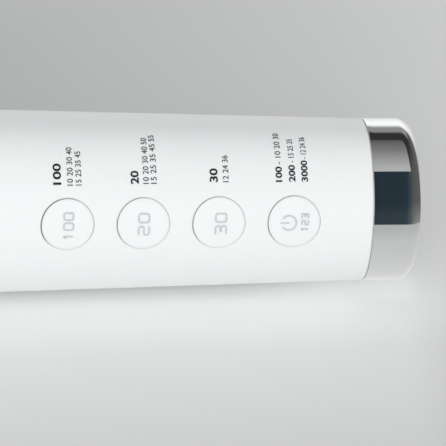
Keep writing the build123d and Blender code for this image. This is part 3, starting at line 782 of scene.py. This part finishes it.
def add_end_faces(form):
    """The two end faces of the tube, their outer edges broken."""
    for end, outward in ((cap_height, -1), (neck_height, 1)):
        broken = [plain_ring(end - outward * short, inward)
                  for short, inward in quarter(edge_break, 4)]
        form.skin([*broken, plain_ring(end, shell_wall)])


def build_handle():
    """The tube: a cone with four stepped button holes, its ends broken, and a flat bed inside."""
    form = Form()
    middles = [place * button_pitch for place in range(button_count)]
    for middle in middles:
        add_button_hole(form, middle)
        add_back(form, middle)
    add_plain_stretches(form, middles[0] - half_pitch, middles[-1] + half_pitch)
    add_end_faces(form)
    form.finish("handle_tube", "wand", "shell_white", ["handle_shell"], crease=50.0)


def build_button(place, name, body, node):
    """A flush button: its face follows the handle, with a flange and a stem behind it."""
    form = Form()
    middle = place * button_pitch
    flange_back = button_face_depth + flange_thickness
    stem_end = flange_back + stem_length
    smallest_ring = 0.4
    face = [curved_ring(radius, middle, 0)
            for radius in spread(smallest_ring, button_radius - button_edge, 9)]
    form.lid(face[0])
    edge = [curved_ring(button_radius - inward, middle, down)
            for inward, down in quarter(button_edge, 5)]
    form.skin([*face, *edge[1:]])
    back = [(button_radius, button_face_depth), (flange_radius, button_face_depth),
            (flange_radius, flange_back), (stem_radius, flange_back), (stem_radius, stem_end)]
    form.skin([edge[-1], *[flat_ring(radius, middle, depth) for radius, depth in back]])
    form.lid(flat_ring(stem_radius, middle, stem_end))
    form.finish(name, body, "button_white", [node], crease=50.0)


build_handle()
build_button(0, "power_key_cap", "power_key", "power_button")
for number in (3, 2, 1):
    build_button(button_count - number, f"mode_key_cap_{number}", f"mode_key_{number}",
                 f"mode_button_{number}")


# ---- Cap and its seal ----


def opening_radius(turn, grow):
    """Reach of the charging opening's round-ended outline in the direction of an angle."""
    end = socket_height / 2 + socket_gap + grow
    half = (socket_width - socket_height) / 2
    side = abs(sin(turn))
    if side > 0 and end / side * abs(cos(turn)) <= half:
        return end / side
    return half * abs(cos(turn)) + sqrt(end**2 - (half * side) ** 2)


def opening_ring(height, grow=0.0):
    """A ring of points round the charging opening's outline."""
    ring = []
    for turn in circle_angles(round_steps):
        radius = opening_radius(turn, grow)
        ring.append(Vector((radius * cos(turn), radius * sin(turn), height)))
    return ring


def blend_rings(first, last, steps):
    """Rings evenly between two rings."""
    return [
        [start.lerp(end, share) for start, end in zip(first, last)] for share in spread(0, 1, steps)
    ]


def build_cap():
    """The polished cup: a full round edge, a thin wall and a charging opening in its end."""
    form = Form()
    bore = seam_radius - cap_wall
    rim = cap_height - seal_thickness
    inner_edge = cap_edge_radius - cap_wall
    lip = [opening_ring(height, grow) for grow, height in quarter(opening_edge, 5)]
    form.skin(blend_rings(circle(seam_radius - cap_edge_radius), lip[0], 12))
    form.skin([*lip, opening_ring(cap_floor)])
    form.skin(blend_rings(opening_ring(cap_floor), circle(bore - inner_edge, cap_floor), 4))
    profile = [(seam_radius - inward, height) for inward, height in quarter(cap_edge_radius, 28)]
    profile += [(seam_radius, height)
                for height in spread(cap_edge_radius, rim - edge_break, 6)[1:]]
    profile += [(seam_radius - inward, rim - down) for down, inward in quarter(edge_break, 4)[1:]]
    profile += [(bore, rim), (bore, cap_floor + inner_edge)]
    profile += [(bore - inward, cap_floor + rise) for rise, inward in quarter(inner_edge)[1:]]
    form.skin([circle(radius, height) for radius, height in profile])
    form.finish("chrome_cap", "wand", "polished_chrome", ["base_cap"])


def build_cap_seal():
    """The thin ring in the seam between the cap and the tube."""
    form = Form()
    outer = seam_radius - seal_recess
    low = cap_height - seal_thickness
    form.skin(lathe([(outer - seal_width, low), (outer, low), (outer, cap_height),
                     (outer - seal_width, cap_height)]))
    form.finish("seam_seal", "wand", "seal_grey", ["cap_seal"])


build_cap()
build_cap_seal()


# ---- Head ----


def head_section_radius(share):
    """Outer radius of the head, swelling smoothly from the neck to the face."""
    swell = share * share * (3 - 2 * share)
    return neck_radius + (head_radius - neck_radius) * swell


def build_head():
    """The bent housing: a smooth swelling skin, the seat of the face, and a spigot with lugs."""
    form = Form()
    shares = spread(0, 1, 44)
    hollow_to = 0.84
    first_ring = neck_height + 0.5
    rings = [circle(neck_radius - inward, neck_height + rise)
             for inward, rise in quarter(edge_break, 4)]
    rings += [circle(neck_radius, height)
              for height in spread(first_ring, neck_height + neck_straight, 3)]
    rings += [circle(head_section_radius(share), 0, bend_place(share)) for share in shares[1:]]
    rings += [circle(radius, height, face_place) for radius, height in (
        (rim_bore, 0), (rim_bore, ledge_top), (ledge_bore, ledge_top),
        (ledge_bore, ledge_top - ledge_thickness))]
    under_ledge = [share for share in shares if share < hollow_to]
    rings += [circle(head_section_radius(share) - head_wall, 0, bend_place(share))
              for share in under_ledge[::-1]]
    groove = spigot_bottom + (neck_height - spigot_bottom - shell_seal_height) / 2
    spigot = [(spigot_bore, neck_height), (spigot_bore, spigot_bottom),
              (spigot_radius, spigot_bottom), (spigot_radius, groove),
              (spigot_radius - shell_seal_width, groove),
              (spigot_radius - shell_seal_width, groove + shell_seal_height),
              (spigot_radius, groove + shell_seal_height), (spigot_radius, neck_height)]
    rings += [circle(radius, height) for radius, height in spigot]
    rings.append(rings[0])
    form.skin(rings)
    distance = spigot_bore - lug_inset
    for side in (-1, 1):
        centre = (side * distance * cos(radians(lug_angle)), distance * sin(radians(lug_angle)))
        form.skin(lathe([(lug_bore, lug_foot), (lug_radius, lug_foot), (lug_radius, neck_height),
                         (lug_bore, neck_height)], steps=32, centre=centre))
    form.finish("head_housing", "wand", "shell_white", ["head_shell"])


def build_face_ring():
    """The polished bezel round the treatment face."""
    form = Form()
    form.skin(lathe(tube_profile(window_outer + face_gap, head_radius, 0, ring_height,
                                 ring_edge_radius, ring_bore_edge), face_place))
    form.finish("chrome_bezel", "wand", "polished_chrome", ["head_ring"])


def build_light_ring():
    """The frosted window that the coloured light shines through."""
    form = Form()
    form.skin(lathe(tube_profile(window_inner, window_outer, -carrier_recess, window_rise,
                                 window_edge_radius, window_edge_radius), face_place))
    form.finish("light_window", "wand", "frosted_window", ["light_ring"])


build_head()
build_face_ring()
build_light_ring()


# ---- Printed marks ----

film = 0.03
film_sunk = 0.02


def wrap(across, height, proud):
    """Point on the handle at an arc length across and a height, a little proud of its surface."""
    turn = across / handle_radius(height)
    radius = handle_radius(height) + proud
    return Vector((radius * sin(turn), -radius * cos(turn), height))


def print_numbers(text, size, start, end, height, bold=0.0):
    """A line of numbers, wrapped on the handle, as lists of points and faces.

    It is size tall, fills the stretch across the handle from start to end, and stands on a height.
    """
    curve = bpy.data.curves.new("numbers", "FONT")
    curve.body = text
    curve.size = 1.0
    curve.offset = bold
    curve.extrude = 0.5
    curve.resolution_u = 4
    holder = linked("numbers", curve)
    bpy.context.view_layer.update()
    flat = holder.evaluated_get(bpy.context.evaluated_depsgraph_get()).to_mesh()
    points = [vertex.co.copy() for vertex in flat.vertices]
    faces = [tuple(face.vertices) for face in flat.polygons]
    holder.to_mesh_clear()
    bpy.data.objects.remove(holder)
    bpy.data.curves.remove(curve)
    low, high = min(point.y for point in points), max(point.y for point in points)
    left, right = min(point.x for point in points), max(point.x for point in points)
    tall = size / (high - low)
    wide = (end - start) / (right - left)
    placed = []
    for point in points:
        proud = film if point.z > 0 else -film_sunk
        placed.append(wrap(start + (point.x - left) * wide, height + (point.y - low) * tall, proud))
    return placed, faces


def caption(name, lines):
    """One printed block on the handle. Each of its lines is given as print_numbers takes it."""
    form = Form()
    for line in lines:
        points, faces = print_numbers(*line)
        corners = [form.corner(point) for point in points]
        for face in faces:
            form.mesh.faces.new([corners[index] for index in face])
    form.finish(name, "wand", "caption_ink")


heading_size = 2.0
line_size = 1.4
heading_bold = 0.022
caption("caption_mode_1", [
    ("100", heading_size, 9.9, 15.3, 88.85, heading_bold),
    ("10 20 30 40", line_size, 9.7, 19.8, 86.0),
    ("15 25 35 45", line_size, 9.7, 18.6, 83.95),
])
caption("caption_mode_2", [
    ("20", heading_size, 9.9, 13.2, 69.95, heading_bold),
    ("10 20 30 40 50", line_size, 9.9, 22.6, 67.5),
    ("15 25 35 45 55", line_size, 9.9, 23.6, 65.6),
])
caption("caption_mode_3", [
    ("30", heading_size, 10.15, 13.6, 50.6, heading_bold),
    ("12 24 36", line_size, 10.1, 17.1, 47.95),
])
row_size = 1.6
caption("caption_lights", [
    ("100", row_size, 10.0, 13.9, 34.75, heading_bold),
    ("- 10 20 30", line_size, 14.6, 24.2, 34.8),
    ("200", row_size, 10.0, 14.3, 31.5, heading_bold),
    ("- 15 25 35", line_size, 15.0, 22.0, 31.55),
    ("3000", row_size, 10.0, 15.5, 28.4, heading_bold),
    ("- 12 24 36", line_size, 16.0, 22.7, 28.45),
])


def stroke(form, path, width, closed=False):
    """A line of ink of even width along a path of (across, height) points."""
    rows = []
    count = len(path)
    for place, point in enumerate(path):
        before = path[(place - 1) % count] if closed or place else point
        after = path[(place + 1) % count] if closed or place < count - 1 else point
        run = (after - before).normalized()
        side = Vector((-run.y, run.x)) * width / 2
        left, right = point + side, point - side
        rows.append([wrap(left.x, left.y, film), wrap(right.x, right.y, film),
                     wrap(right.x, right.y, -film_sunk), wrap(left.x, left.y, -film_sunk)])
    if closed:
        rows.append(rows[0])
    form.skin(rows)
    if not closed:
        for row in (rows[0], rows[-1]):
            form.mesh.faces.new([form.corner(point) for point in row])


def arc(centre, radius, first, last, steps):
    """Points along an arc; its angles are in degrees."""
    turns = [radians(turn) for turn in spread(first, last, steps)]
    return [centre + radius * Vector((cos(turn), sin(turn))) for turn in turns]


def soft_path(corners, radius, steps=5):
    """A path through corners, each rounded to a radius."""
    path = [Vector(corners[0])]
    for before, corner, after in zip(corners, corners[1:], corners[2:]):
        corner = Vector(corner)
        back = (Vector(before) - corner).normalized() * radius
        ahead = (Vector(after) - corner).normalized() * radius
        for share in spread(0, 1, steps):
            path.append(corner + back * (1 - share) ** 2 + ahead * share**2)
    path.append(Vector(corners[-1]))
    return path


icon_stroke = 0.42
power_ring_radius = 1.82
power_ring_opening = 34.0


def digit_paths(number, left, low, width, height):
    """Monoline paths of one digit whose corners are rounded, as (path, closed) pairs."""
    right, top, half = left + width, low + height, low + height / 2
    middle = left + width / 2
    soft = 0.3 * width
    if number == "0":
        corners = [(middle, top), (left, top), (left, low), (right, low), (right, top),
                   (middle, top)]
        return [(soft_path(corners, soft)[:-1], True)]
    if number == "1":
        corners = [(middle - soft, top - soft), (middle, top), (middle, low)]
        return [(soft_path(corners, soft / 4), False)]
    if number == "2":
        corners = [(left, top), (right, top), (right, half), (left, half), (left, low),
                   (right, low)]
        return [(soft_path(corners, soft), False)]
    inside = left + 0.25 * width
    upper = soft_path([(left, top), (right, top), (right, half), (inside, half)], soft)
    lower = soft_path([(inside, half), (right, half), (right, low), (left, low)], soft)
    return [(upper, False), (lower, False)]


def draw_digits(form, digits, start, end, low, high, gap):
    """Light digits in one line style that fill a stretch across and up the handle."""
    width = (end - start - icon_stroke - gap * (len(digits) - 1)) / len(digits)
    for shift, digit in enumerate(digits):
        left = start + icon_stroke / 2 + shift * (width + gap)
        box = (left, low + icon_stroke / 2, width, high - low - icon_stroke)
        for path, closed in digit_paths(digit, *box):
            stroke(form, path, icon_stroke, closed)


def button_icon(number, digits, *stretch):
    """The digits printed on a mode button."""
    form = Form()
    draw_digits(form, digits, *stretch)
    form.finish(f"icon_mode_{number}", f"mode_key_{number}", "icon_ink")


def power_icon():
    """The common on and off sign, open towards the head, over three small digits for the lights."""
    form = Form()
    centre = Vector((-0.12, power_button_height + 1.3))
    first, last = 90 + power_ring_opening, 450 - power_ring_opening
    stroke(form, arc(centre, power_ring_radius, first, last, 48), icon_stroke)
    stroke(form, [centre + Vector((0, reach)) for reach in (-0.15, 2.15)], icon_stroke)
    draw_digits(form, "123", -2.45, 2.3, 28.1, 30.15, 0.6)
    form.finish("icon_power", "power_key", "icon_ink")


button_icon(1, "100", -3.95, 3.25, 85.7, 88.4, 0.8)
button_icon(2, "20", -2.95, 2.85, 67.2, 70.15, 1.0)
button_icon(3, "30", -2.95, 2.65, 48.3, 51.35, 1.0)
power_icon()


# ---- Floor, light and camera ----


def painted_floor_light(along, back):
    """Grey level of the floor, with painted light and shade in it, and a mask of the strip that the device stands
    over.

    It is darker behind the device in a painted shadow, brightest just in front of it in painted light from the
    device's white side, and even far away.
    """
    far_level = 0.68
    # Painted shadow behind the device, darker towards the head's end and a little lighter close behind it.
    behind = along.slide(0.0, 0.12, 0.50, 0.63) + back.slide(0.03, 0.09, 0.02, 0.0)
    # Painted light in front of the device, brightest close to it where its white side lights the floor, and darker
    # beyond the end of the cap.
    front = back.slide(-0.07, -0.02, 0.61, 0.75) + back.slide(-0.03, -0.012, 0.0, 0.085)
    front = front * along.ease(0.088, 0.108, 1.0, 0.86)
    side = back.ease(-0.015, 0.03)
    # Painted contact shadow: the floor is made a little darker in the strip beside the device's body.
    beside = back.within(-0.0065, 0.004, 0.0055) * along.within(-0.085, 0.045, 0.04)
    # A painted pool of light on the floor just below the polished cap.
    painted_light_below_cap = back.within(-0.009, -0.003, 0.004) * along.within(0.086, 0.093, 0.006)
    level = (front * (1 - side) + behind * side) * (1 - 0.08 * beside) + 0.05 * painted_light_below_cap
    from_middle = ((along - 0.05) * (along - 0.05) + back * back).root()
    near = from_middle.ease(0.11, 0.20, 1.0, 0.0)
    return far_level + (level - far_level) * near, beside


def build_floor():
    """A wide pale floor. Part of its tone is its own, a glow that only the camera sees, with the floor's painted
    light and shade, so that the shadow on it stays soft.
    """
    half = 4.0
    mesh = bpy.data.meshes.new("floor")
    corners = [(-half, -half, 0), (half, -half, 0), (half, half, 0), (-half, half, 0)]
    mesh.from_pydata(corners, [], [(0, 1, 2, 3)])
    floor = linked("floor", mesh)
    nodes = new_look("pale_floor")
    along, back, _ = nodes.parts(nodes.place())
    level, beside = painted_floor_light(along, back)
    tint = (1.0, 1.008, 1.004)
    tone = nodes.tinted(level, *tint)
    lit = nodes.tinted(level * 1.15, *tint)
    matt = nodes.add("ShaderNodeBsdfPrincipled", {"Base Color": lit, "Roughness": 0.6,
                                                  "Specular IOR Level": 0.2})
    painted_camera_glow = nodes.add("ShaderNodeEmission", {"Color": tone, "Strength": 1.0})
    # Less of the glow in the strip beside the device, so that its shadow shows darker there.
    evened = nodes.paths()["Is Camera Ray"] * (0.48 - 0.48 * beside)
    shader = nodes.add("ShaderNodeMixShader", {0: evened, 1: matt, 2: painted_camera_glow})
    nodes.add("ShaderNodeOutputMaterial", {"Surface": shader})
    mesh.materials.append(looks["pale_floor"])
    floor.visible_glossy = False


def build_world():
    """Even light on matt surfaces, and a room of dark and pale fields for the polished ones."""
    world = bpy.data.worlds.new("studio")
    world.use_nodes = True
    scene.world = world
    nodes = Nodes(world.node_tree)
    direction = nodes.add("ShaderNodeTexCoord", output=0)
    _, back, _ = nodes.parts(direction)
    ambient = nodes.mix(back.slide(-1.0, 1.0), (0.80, 0.81, 0.82), (0.40, 0.405, 0.41))
    rays = nodes.paths()
    tone = nodes.mix(rays["Is Glossy Ray"], ambient, mirror_room(nodes, direction))
    tone = nodes.mix(rays["Is Transmission Ray"], tone, grey(1.0))
    tone = nodes.mix(rays["Is Camera Ray"], tone, grey(1.0))
    background = nodes.add("ShaderNodeBackground", {"Color": tone, "Strength": 1.0})
    nodes.add("ShaderNodeOutputWorld", {"Surface": background})


# The mirror room's angles, in degrees round the handle from the side that the device is shown from.
sill = -18.7
window_top = 19.5
blind_top = 46.2


def mirror_room(nodes, direction):
    """The room that polished metal shows: a dark window with a lit blind over it, and pale walls.

    It is laid out by the half direction between a place in the room and the side that the device is
    shown from, so that its edges run straight along a polished cylinder that lies on that side.
    """
    shown_from = Vector((-0.119, -0.779, 0.616))
    half = nodes.add("ShaderNodeVectorMath", {0: direction, 1: shown_from}, operation="ADD")
    half = nodes.add("ShaderNodeVectorMath", {0: half}, operation="NORMALIZE")
    axis = -up_handle
    level_side = (shown_from - shown_from.dot(axis) * axis).normalized()
    upper_side = level_side.cross(axis)
    turned = nodes.along(half, upper_side).angle_from(nodes.along(half, level_side)) * (180 / pi)
    ahead = nodes.along(half, axis)
    facing = nodes.along(half, shown_from)
    tone = side_wall(turned, ahead)
    for mask, over in (
            lit_blind(nodes, turned, ahead), dark_window(nodes, turned, ahead),
            grey_ceiling(turned, ahead, facing), rim_light(turned, ahead, facing),
            table_top(nodes, turned)):
        tone = nodes.mix(mask, tone, over)
    return tone


def side_wall(turned, ahead):
    """Level of the dark wall beside the window and the blind."""
    high = turned.ease(15, 40)
    return (ahead.slide(0.3, 0.78, 0.035, 0.15) * high
            + ahead.slide(0.2, 0.7, 0.09, 0.12) * (1 - high)
            + ahead.slide(0.1, 0.75, 0.02, 0.17) * turned.slide(sill, -2, 1.0, 0.0))


def lit_blind(nodes, turned, ahead):
    """Mask and tone of the lit blind, darker towards its top. Its side edge leans."""
    blind = nodes.add("ShaderNodeValToRGB", {"Fac": turned.slide(window_top, blind_top)}, stops=[
        (0.07, grey(0.54)), (0.33, grey(0.40)), (0.63, grey(0.24)), (0.90, grey(0.15)),
        (1.0, grey(0.11))])
    side_edge = turned.slide(21, 47.5, 0.30, 0.10) * turned.ease(38, 47, 1.0, 0.2)
    on_blind = (turned.ease(blind_top - 0.8, blind_top + 0.8, 1.0, 0.0)
                * (ahead - side_edge).ease(-0.01, 0.02, 1.0, 0.0))
    return on_blind * turned.ease(window_top - 0.4, window_top + 0.2), blind


def dark_window(nodes, turned, ahead):
    """Mask and tone of the dark window, with a faint glow towards its side edge."""
    glow = (ahead.slide(0.0, 0.25, 0.0, 0.55) + turned.slide(-12, -5, 0.2, 0.0)
            + ahead.slide(0.0, 0.25) * turned.slide(-12, -2, 0.5, 0.0))
    window = nodes.mix(glow, (0.022, 0.036, 0.050), (0.085, 0.105, 0.125))
    below_top = turned.ease(window_top - 0.4, window_top + 0.2, 1.0, 0.0)
    return below_top * ahead.ease(0.32, 0.345, 1.0, 0.0), window


def grey_ceiling(turned, ahead, facing):
    """Mask and tone of the ceiling over the blind."""
    low = facing.ease(0.545, 0.595, 1.0, 0.0)
    return low * turned.ease(30, 45) * ahead.ease(0.28, 0.45, 1.0, 0.15), grey(0.315)


def rim_light(turned, ahead, facing):
    """Mask and tone of the bright wall behind the device, which shows only along its rim."""
    edge = turned.slide(14, 57, 0.29, 0.465) - turned.ease(-6, 12, 0.2, 0.0)
    light = (turned.slide(35, 62, 0.64, 1.0) * ahead.ease(0.2, 0.6, 1.2, 1.02)
             * facing.slide(0.10, 0.35, 0.65, 1.0))
    return (facing - edge).ease(-0.07, 0.025, 1.0, 0.0), light


def table_top(nodes, turned):
    """Mask and tone of the pale table that the device lies on."""
    table = nodes.add("ShaderNodeValToRGB", {"Fac": turned.slide(-90, sill)}, stops=[
        (0.0, grey(0.86)), (0.18, grey(0.84)), (0.38, grey(0.78)), (0.63, grey(0.70)),
        (0.82, grey(0.666)), (0.95, grey(0.556))])
    return turned.ease(sill - 0.4, sill + 0.4, 1.0, 0.0), table


def build_light():
    """A square soft light, left out of mirror images."""
    lamp = bpy.data.lights.new("key", "AREA")
    lamp.shape = "SQUARE"
    lamp.size = 0.9
    lamp.energy = 10.0
    holder = linked("key", lamp)
    holder.matrix_world = aimed(Vector((-0.15, -1.3, 0.75)), Vector((0.0, 0.0, 0.02)))
    holder.visible_glossy = False


def aimed(place, aim, roll=0.0):
    """A frame at a place whose -Z looks at the aim, turned by a roll."""
    ahead = (aim - place).normalized()
    right = ahead.cross(Vector((0, 0, 1))).normalized()
    upward = right.cross(ahead)
    turned_right = right * cos(roll) + upward * sin(roll)
    turned_up = upward * cos(roll) - right * sin(roll)
    return frame_at(place, turned_right, turned_up, -ahead)


def build_camera():
    """A long lens from the front and above, rolled a little."""
    azimuth, elevation, roll = radians(8.7), radians(38.012), radians(3.945)
    aim = Vector((0.04786, -0.00247, 0.01839))
    distance = 1.2297
    ahead = Vector((sin(azimuth) * cos(elevation), cos(azimuth) * cos(elevation), -sin(elevation)))
    camera = bpy.data.cameras.new("camera")
    camera.sensor_width = 36.0
    camera.sensor_fit = "HORIZONTAL"
    camera.lens = 403.6
    camera.clip_end = 20.0
    scene.camera = linked("camera", camera)
    scene.camera.matrix_world = aimed(aim - ahead * distance, aim, roll)


build_floor()
build_world()
build_light()
build_camera()
scene.view_settings.view_transform = "Standard"
